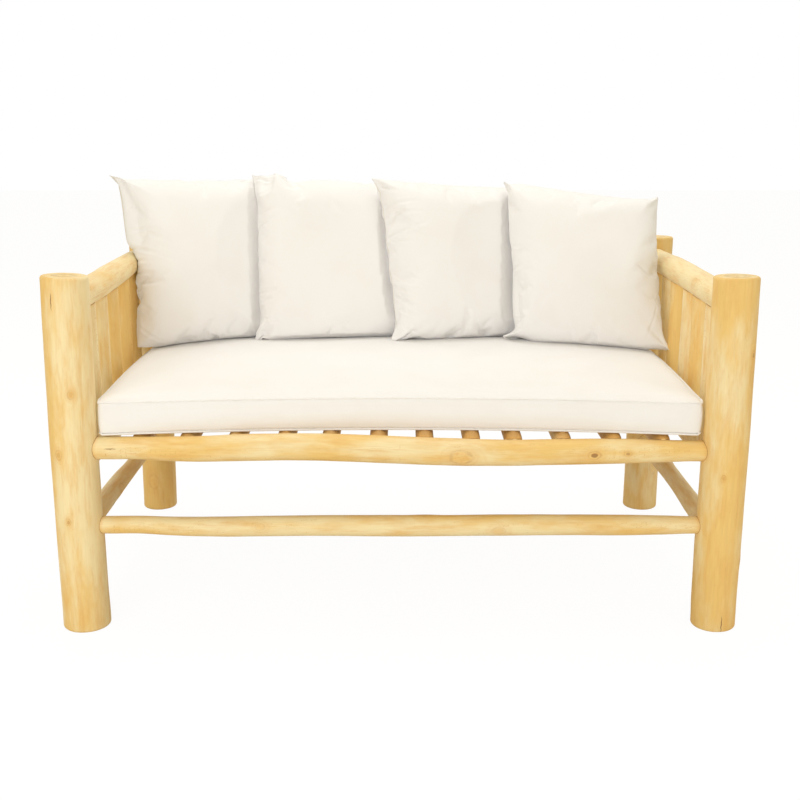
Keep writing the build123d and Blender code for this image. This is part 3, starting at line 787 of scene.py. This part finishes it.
def pillow_cover(index):
    """One pillow's two flat squares of cloth, sewn together round their edges."""
    cloth = bpy.context.scene.loveseat_cloth
    corners, ears = ([Vector((u, v, 0)) * PILLOW_SIZE for u, v in shares[index]]
                     for shares in (PILLOW_CORNERS, PILLOW_EARS))
    centre = sum(corners, Vector((0, 0, 0))) / 4
    corners = [centre + (corner - centre) * cloth.cut_share for corner in corners]
    tipped, tip_place, tip_width, tip_height = PILLOW_TIP
    bm = bmesh.new()
    flat = bm.verts.layers.float_vector.new("flat")
    for way in (1, -1):
        for vert in bmesh.ops.create_grid(bm, x_segments=cloth.mesh_count,
                                          y_segments=cloth.mesh_count, size=0.5)["verts"]:
            u, v = vert.co.x + 0.5, vert.co.y + 0.5
            edge = min(u, 1 - u, v, 1 - v)
            vert[flat] = Vector((u, v, edge)) * PILLOW_SIZE
            rise = (SEWN_RISE * (1 + 0.25 * noise.noise(
                Vector((u * 9, v * 9, way * 3 + index * 7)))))
            shares = (1 - u) * (1 - v), u * (1 - v), u * v, (1 - u) * v
            vert.co = sum((corner * share + ear * share ** EAR_POWER for corner, ear, share
                           in zip(corners, ears, shares)), Vector((0, 0, 0)))
            below, right, above, left = PILLOW_BOWS[index]
            vert.co.y += 4 * u * (1 - u) * (above * v ** 2 - below * (1 - v) ** 2)
            left *= 1 + PILLOW_SLUMPS[index] * (1 - 2 * v)
            vert.co.x += 4 * v * (1 - v) * (right * u ** 2 - left * (1 - u) ** 2)
            if index == tipped:
                vert.co.y += tip_height * v ** TIP_POWER * bell(u - tip_place, tip_width)
            vert.co.z = way * rise * min(1, edge / SWELL) ** 0.7
    bmesh.ops.remove_doubles(bm, verts=bm.verts, dist=1e-5)
    bmesh.ops.recalc_face_normals(bm, faces=bm.faces)
    bm.verts.index_update()
    firm = {}
    for vert in bm.verts:
        u, v = vert[flat].x / PILLOW_SIZE, vert[flat].y / PILLOW_SIZE
        reach = math.hypot(min(u, 1 - u), min(v, 1 - v))
        weight = min(1, max(0, (reach - CORNER_FLAT) / CORNER_FADE))
        firm.setdefault(weight, []).append(vert.index)
    piece = finish_cover(bm, f"pillow_{index + 1}", flat)
    filled = piece.vertex_groups.new(name="filled")
    for weight, indices in firm.items():
        filled.add(indices, weight, "REPLACE")
    return piece


def fold_cover(piece, index):
    """Smooths a filled pillow, and lays the sewing's small folds into its front square."""
    piece.modifiers.new("smooth", "SUBSURF").levels = 1
    settle([piece])
    bm = bmesh.new()
    bm.from_mesh(piece.data)
    uv = bm.loops.layers.uv["cloth"]
    moves = []
    for vert in bm.verts:
        if vert.normal.y > 0.15:
            continue
        u, v = vert.link_loops[0][uv].uv / PILLOW_SIZE
        depth = 0.0
        for *ends, deep in PILLOW_FOLDS[index]:
            start_u, start_v, stop_u, stop_v = (end / 100 for end in ends)
            run = Vector((stop_u - start_u, stop_v - start_v))
            way = Vector((u - start_u, v - start_v))
            along = way.dot(run) / run.length_squared
            aside = (way.x * run.y - way.y * run.x) / run.length * PILLOW_SIZE
            if -0.15 < along < 1.1 and abs(aside) < 0.02:
                fade = min(1, (along + 0.15) / 0.3, (1.1 - along) / 0.6)
                depth += deep * fade * (bell(aside, FOLD_WIDTH)
                                        - 0.65 * bell(aside - BANK_OFFSET, BANK_WIDTH)
                                        - 0.45 * bell(aside + BANK_OFFSET, BANK_WIDTH))
        moves.append((vert, vert.normal * (-0.001 * depth)))
    for vert, move in moves:
        vert.co += move
    bm.to_mesh(piece.data)
    bm.free()


def finish_cover(bm, name, flat, boxed=False):
    """Turns a sewn cover into a piece: its cloth map, its way to the nearest seam, its finish."""
    seam = bm.verts.layers.float.new("seam")
    uv = bm.loops.layers.uv.new("cloth")
    for vert in bm.verts:
        vert[seam] = vert[flat].z
    for face in bm.faces:
        face.normal_update()
        upright = boxed and abs(face.normal.z) < 0.5
        across = 0 if abs(face.normal.y) > abs(face.normal.x) else 1
        for corner in face.loops:
            place = corner.vert.co
            corner[uv].uv = (place[across], place.z) if upright else corner.vert[flat].xy
    bm.verts.layers.float_vector.remove(flat)
    piece = add_object(name, mesh_of(bm, name))
    piece.data.materials.append(cloth_material())
    return piece


def lean_pillow(piece, index):
    """Puts a filled pillow in its place, leaning on the back."""
    x, y, yaw = PILLOW_PLACES[index]
    lean = math.radians(PILLOW_LEAN)
    along = Vector((math.cos(math.radians(yaw)), math.sin(math.radians(yaw)), 0))
    facing = along.cross(Vector((0, math.sin(lean), math.cos(lean)))).normalized()
    upward = facing.cross(along)
    corner = Vector((x, y, PILLOW_BASE))
    for vert in piece.data.vertices:
        vert.co = corner + along * vert.co.x + upward * vert.co.y + facing * vert.co.z


# How far the seat cushion's edges bow: its front and back inward, its sides outward.
SEAT_FRONT_BOW, SEAT_SIDE_BOW, SEAT_BACK_BOW = 0.045, 0.017, 0.005
# Its seams' heights over its solid's underside, its crown and how far in that is reached, how far
# its cloth stays inside its solid in front and behind, and where its corners start to round.
SEAT_UNDER, SEAT_SEAM, SEAT_CROWN, SEAT_SWELL = 0.0012, 0.0665, 0.019, 0.13
SEAT_INSET, SEAT_CORNER = 0.002, 1.965
# The faces across its panels, along them, and the cuts of its boxing.
SEAT_MESH, SEAT_CUTS = (130, 78), 7


def seat_cover():
    """The seat cushion's cover: a top and a bottom panel and the boxing between them."""
    low, high = (Vector(corner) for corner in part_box("seat_cushion_cover"))
    half = (high.x - low.x) / 2 - SEAT_SIDE_BOW
    bm = bmesh.new()
    flat = bm.verts.layers.float_vector.new("flat")
    for h in (1, 0):
        for vert in bmesh.ops.create_grid(bm, x_segments=SEAT_MESH[0], y_segments=SEAT_MESH[1],
                                          size=0.5)["verts"]:
            vert.co.z = h
    made = bmesh.ops.bridge_loops(bm, edges=[e for e in bm.edges if e.is_boundary])
    uprights = [e for e in made["edges"] if abs(e.verts[0].co.z - e.verts[1].co.z) > 0.5]
    bmesh.ops.subdivide_edges(bm, edges=uprights, cuts=SEAT_CUTS, use_grid_fill=True)
    bmesh.ops.recalc_face_normals(bm, faces=bm.faces)
    bm.verts.index_update()
    rims = {0: [], 1: []}
    for vert in bm.verts:
        u, v, h = vert.co.x * 2, vert.co.y * 2, vert.co.z
        if h in rims and max(abs(u), abs(v)) > 0.9999:
            rims[h].append((math.atan2(v, u), vert.index))
        x = u * (half + SEAT_SIDE_BOW * (1 - v * v))
        front = low.y + SEAT_INSET + SEAT_FRONT_BOW * (1 - u * u)
        back = high.y - SEAT_INSET - SEAT_BACK_BOW * (1 - u * u)
        y = front + (back - front) * (v + 1) / 2
        round_off = max(0, abs(u) + abs(v) - SEAT_CORNER) * 0.2
        x *= 1 - round_off / 2
        y -= math.copysign(round_off * 0.3, v)
        edge = min((1 - abs(u)) * half, (1 - abs(v)) * (back - front) / 2)
        crown = SEAT_CROWN * (1 - (1 - min(1, edge / SEAT_SWELL)) ** 2) if h == 1 else 0
        z = low.z + SEAT_UNDER + h * (SEAT_SEAM - SEAT_UNDER) + crown
        vert[flat] = Vector((x, y, edge if h in (0, 1) else min(h, 1 - h) * SEAT_SEAM))
        vert.co = Vector((x, y, z))
    under = [vert.index for vert in bm.verts if vert.co.z < low.z + 0.002]
    piece = finish_cover(bm, "seat_cushion", flat, boxed=True)
    piece.vertex_groups.new(name="under").add(under, 1, "ADD")
    return piece, [[index for _, index in sorted(rims[h])] for h in (0, 1)]


def seat_piping(piece, rims):
    """The piping sewn into the cushion's top and bottom seams."""
    curve = bpy.data.curves.new("piping", "CURVE")
    curve.dimensions = "3D"
    curve.bevel_depth = bpy.context.scene.loveseat_cloth.piping / 2
    curve.bevel_resolution = 3
    for rim in rims:
        line = curve.splines.new("POLY")
        line.points.add(len(rim) - 1)
        for point, index in zip(line.points, rim):
            point.co = (*piece.data.vertices[index].co, 1)
        line.use_cyclic_u = True
    held = add_object("piping", curve)
    graph = bpy.context.evaluated_depsgraph_get()
    mesh = bpy.data.meshes.new_from_object(held.evaluated_get(graph))
    bpy.data.objects.remove(held)
    bm = bmesh.new()
    bm.from_mesh(mesh)
    seam = bm.verts.layers.float.new("seam")
    uv = bm.loops.layers.uv.new("cloth")
    for vert in bm.verts:
        vert[seam] = 1
    for face in bm.faces:
        face.smooth = True
        for corner in face.loops:
            place = corner.vert.co
            corner[uv].uv = (place.x + place.y, place.z + place.x - place.y)
    bm.to_mesh(mesh)
    bm.free()
    mesh.materials.clear()
    mesh.materials.append(cloth_material())
    welt = add_object("seat_cushion_piping", mesh)
    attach(welt, "seat_cushion")


# Operators ---------------------------------------------------------------------------------------

CAMERA_PLACE, CAMERA_TILT, CAMERA_LENS, CAMERA_SENSOR = (0, -2.5885, 1.025), 76.14, 51.75, 36
# Each lamp's place and the side of its square. All of them look at one point of the seat.
LAMPS = {"key": ((-1.4, -3.3, 1.7), 2.6), "fill": ((2.6, -2.6, 1.1), 2.0),
         "top": ((0.0, 0.8, 3.2), 2.6)}
LAMP_AIM, LAMP_COLOUR = Vector((0, 0, 0.45)), (0.945, 0.972, 1)
WHITE, ROOM_COLOUR, FLOOR_COLOUR = (1, 1, 1, 1), (1, 0.89, 0.66, 1), (0.9, 0.9, 0.89, 1)
# Half the floor's side, how brightly it glows to the camera, and the share of that in its looks.
FLOOR_HALF, FLOOR_GLOW, FLOOR_SHARE = 14, 1.04, 0.91


class LOVESEAT_OT_stage(bpy.types.Operator):
    """Set up the floor, the light and the camera"""
    bl_idname = "loveseat.stage"
    bl_label = "Stage"

    def execute(self, context):
        scene, stage = context.scene, context.scene.loveseat_stage
        scene.view_settings.view_transform = "Standard"
        camera = add_object("camera", bpy.data.cameras.new("camera"))
        camera.data.lens, camera.data.sensor_width = CAMERA_LENS, CAMERA_SENSOR
        camera.location = CAMERA_PLACE
        camera.rotation_euler = (math.radians(CAMERA_TILT), 0, 0)
        scene.camera = camera
        bm = bmesh.new()
        bmesh.ops.create_grid(bm, x_segments=1, y_segments=1, size=FLOOR_HALF)
        floor = add_object("floor", mesh_of(bm, "floor"))
        floor.data.materials.append(self.floor_material())
        for name, (place, side) in LAMPS.items():
            lamp = add_object(name, bpy.data.lights.new(name, "AREA"))
            lamp.data.size, lamp.data.energy = side, getattr(stage, name)
            lamp.data.color = LAMP_COLOUR
            lamp.location = place
            lamp.rotation_euler = (LAMP_AIM - Vector(place)).to_track_quat("-Z", "Y").to_euler()
        world = bpy.data.worlds.new("room")
        world.use_nodes = True
        tree = world.node_tree
        room = tree.nodes["Background"]
        seen = lay(tree, "ShaderNodeBackground", {"Color": WHITE, "Strength": 1.0})
        room.inputs["Color"].default_value = ROOM_COLOUR
        room.inputs["Strength"].default_value = stage.room
        rays = lay(tree, "ShaderNodeLightPath").outputs
        plain = Value(rays["Is Camera Ray"]).step("MAXIMUM", rays["Is Glossy Ray"])
        self.mix(tree, plain, room, seen, "World Output")
        scene.world = world
        return {"FINISHED"}

    @staticmethod
    def mix(tree, share, first, second, output):
        """Two shaders mixed into a tree's output."""
        mixed = lay(tree, "ShaderNodeMixShader", {0: share, 1: first.outputs[0],
                                                  2: second.outputs[0]})
        tree.links.new(mixed.outputs[0], tree.nodes[output].inputs["Surface"])

    def floor_material(self):
        """A white floor that still takes a soft shadow."""
        made = bpy.data.materials.new("white floor")
        made.use_nodes = True
        tree = made.node_tree
        shader = tree.nodes["Principled BSDF"]
        for key, value in (("Base Color", FLOOR_COLOUR), ("Roughness", 0.9),
                           ("Specular IOR Level", 0)):
            shader.inputs[key].default_value = value
        glow = lay(tree, "ShaderNodeEmission", {"Color": WHITE, "Strength": FLOOR_GLOW})
        seen = Value(lay(tree, "ShaderNodeLightPath").outputs["Is Camera Ray"])
        self.mix(tree, seen * FLOOR_SHARE, shader, glow, "Material Output")
        return made


class LOVESEAT_OT_posts(bpy.types.Operator):
    """Build the four posts, with rounded rims and sawn ends"""
    bl_idname = "loveseat.posts"
    bl_label = "Posts"

    def execute(self, context):
        for seed, name in enumerate(("front_left_post", "front_right_post", "rear_left_post",
                                     "rear_right_post")):
            log_piece(name, 2, seed * 3.7, **LOGS["post"])
        return {"FINISHED"}


class LOVESEAT_OT_rails(bpy.types.Operator):
    """Build the seat rails, the arm rails, the back's top rail and the stretchers"""
    bl_idname = "loveseat.rails"
    bl_label = "Rails and stretchers"

    def execute(self, context):
        across = ("front_seat_rail", "rear_seat_rail", "front_stretcher", "back_top_rail")
        deep = ("left_seat_rail", "right_seat_rail", "left_stretcher", "right_stretcher",
                "left_arm_rail", "right_arm_rail")
        for seed, name in enumerate(across + deep):
            log_piece(name, 0 if name in across else 1, 20 + seed * 2.9, **LOGS["rail"])
        return {"FINISHED"}


class LOVESEAT_OT_slats(bpy.types.Operator):
    """Build the slats of the sides, the back and the seat"""
    bl_idname = "loveseat.slats"
    bl_label = "Slats"

    def execute(self, context):
        names = sorted(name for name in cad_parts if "slat" in name)
        if not names:
            raise RuntimeError("the packed model has no slats")
        for seed, name in enumerate(names):
            kind = "seat" if name.startswith("seat") else "slat"
            log_piece(name, 1 if kind == "seat" else 2, 60 + seed * 1.3, **LOGS[kind])
        return {"FINISHED"}


class LOVESEAT_OT_pillows(bpy.types.Operator):
    """Sew, fill and lean the four pillows"""
    bl_idname = "loveseat.pillows"
    bl_label = "Pillows"

    def execute(self, context):
        count = len(PILLOW_PLACES)
        pieces = [pillow_cover(index) for index in range(count)]
        inflate(pieces, context.scene.loveseat_cloth.fill_pressure, PILLOW_FRAMES, PILLOW_BENDING,
                filled="filled")
        for index, piece in enumerate(pieces):
            lean_pillow(piece, index)
            own = f"pillow_{index + 1}_cover"
            touching = [f"pillow_{k + 1}_cover" for k in range(count) if abs(k - index) == 1]
            touching += ["seat_cushion_cover", "left_arm_rail", "right_arm_rail", "back_top_rail"]
            press(piece, own, touching, PILLOW_PROUD, PILLOW_LOOSE[index], SEAM_PROUD)
            fold_cover(piece, index)
            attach(piece, f"pillow_{index + 1}")
            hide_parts(own, f"pillow_{index + 1}_filling")
        return {"FINISHED"}


class LOVESEAT_OT_seat(bpy.types.Operator):
    """Sew and fill the boxed seat cushion"""
    bl_idname = "loveseat.seat"
    bl_label = "Seat cushion"

    def execute(self, context):
        piece, rims = seat_cover()
        inflate([piece], SEAT_PRESSURE, SEAT_FRAMES, SEAT_BENDING, pins="under")
        press(piece, "seat_cushion_cover",
              ["front_left_post", "front_right_post", "left_arm_rail", "seat_slat_1",
               "seat_slat_6", "seat_slat_12"], SEAM_PROUD)
        smooth = piece.modifiers.new("smooth", "SUBSURF")
        smooth.levels = smooth.render_levels = 1
        seat_piping(piece, rims)
        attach(piece, "seat_cushion")
        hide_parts("seat_cushion_cover", "seat_cushion_foam")
        return {"FINISHED"}


OPERATORS = (LOVESEAT_OT_stage, LOVESEAT_OT_posts, LOVESEAT_OT_rails, LOVESEAT_OT_slats,
             LOVESEAT_OT_seat, LOVESEAT_OT_pillows)


class LOVESEAT_PT_panel(bpy.types.Panel):
    """The loveseat's sizes, colours and steps"""
    bl_idname = "LOVESEAT_PT_panel"
    bl_label = "Loveseat"
    bl_space_type = "VIEW_3D"
    bl_region_type = "UI"
    bl_category = "Loveseat"

    def draw(self, context):
        for group in ("loveseat_wood", "loveseat_cloth", "loveseat_stage"):
            values = getattr(context.scene, group)
            for name in values.__annotations__:
                self.layout.prop(values, name)
        for operator in OPERATORS:
            self.layout.operator(operator.bl_idname)


GROUPS = {"loveseat_wood": LoveseatWood, "loveseat_cloth": LoveseatCloth,
          "loveseat_stage": LoveseatStage}


def register():
    for made in (*GROUPS.values(), *OPERATORS, LOVESEAT_PT_panel):
        bpy.utils.register_class(made)
    for name, group in GROUPS.items():
        setattr(bpy.types.Scene, name, PointerProperty(type=group))


def unregister():
    for name in GROUPS:
        delattr(bpy.types.Scene, name)
    for made in reversed((*GROUPS.values(), *OPERATORS, LOVESEAT_PT_panel)):
        bpy.utils.unregister_class(made)


def main():
    register()
    bpy.ops.loveseat.stage()
    bpy.ops.loveseat.posts()
    bpy.ops.loveseat.rails()
    bpy.ops.loveseat.slats()
    bpy.ops.loveseat.seat()
    bpy.ops.loveseat.pillows()


if __name__ == "__main__":
    main()
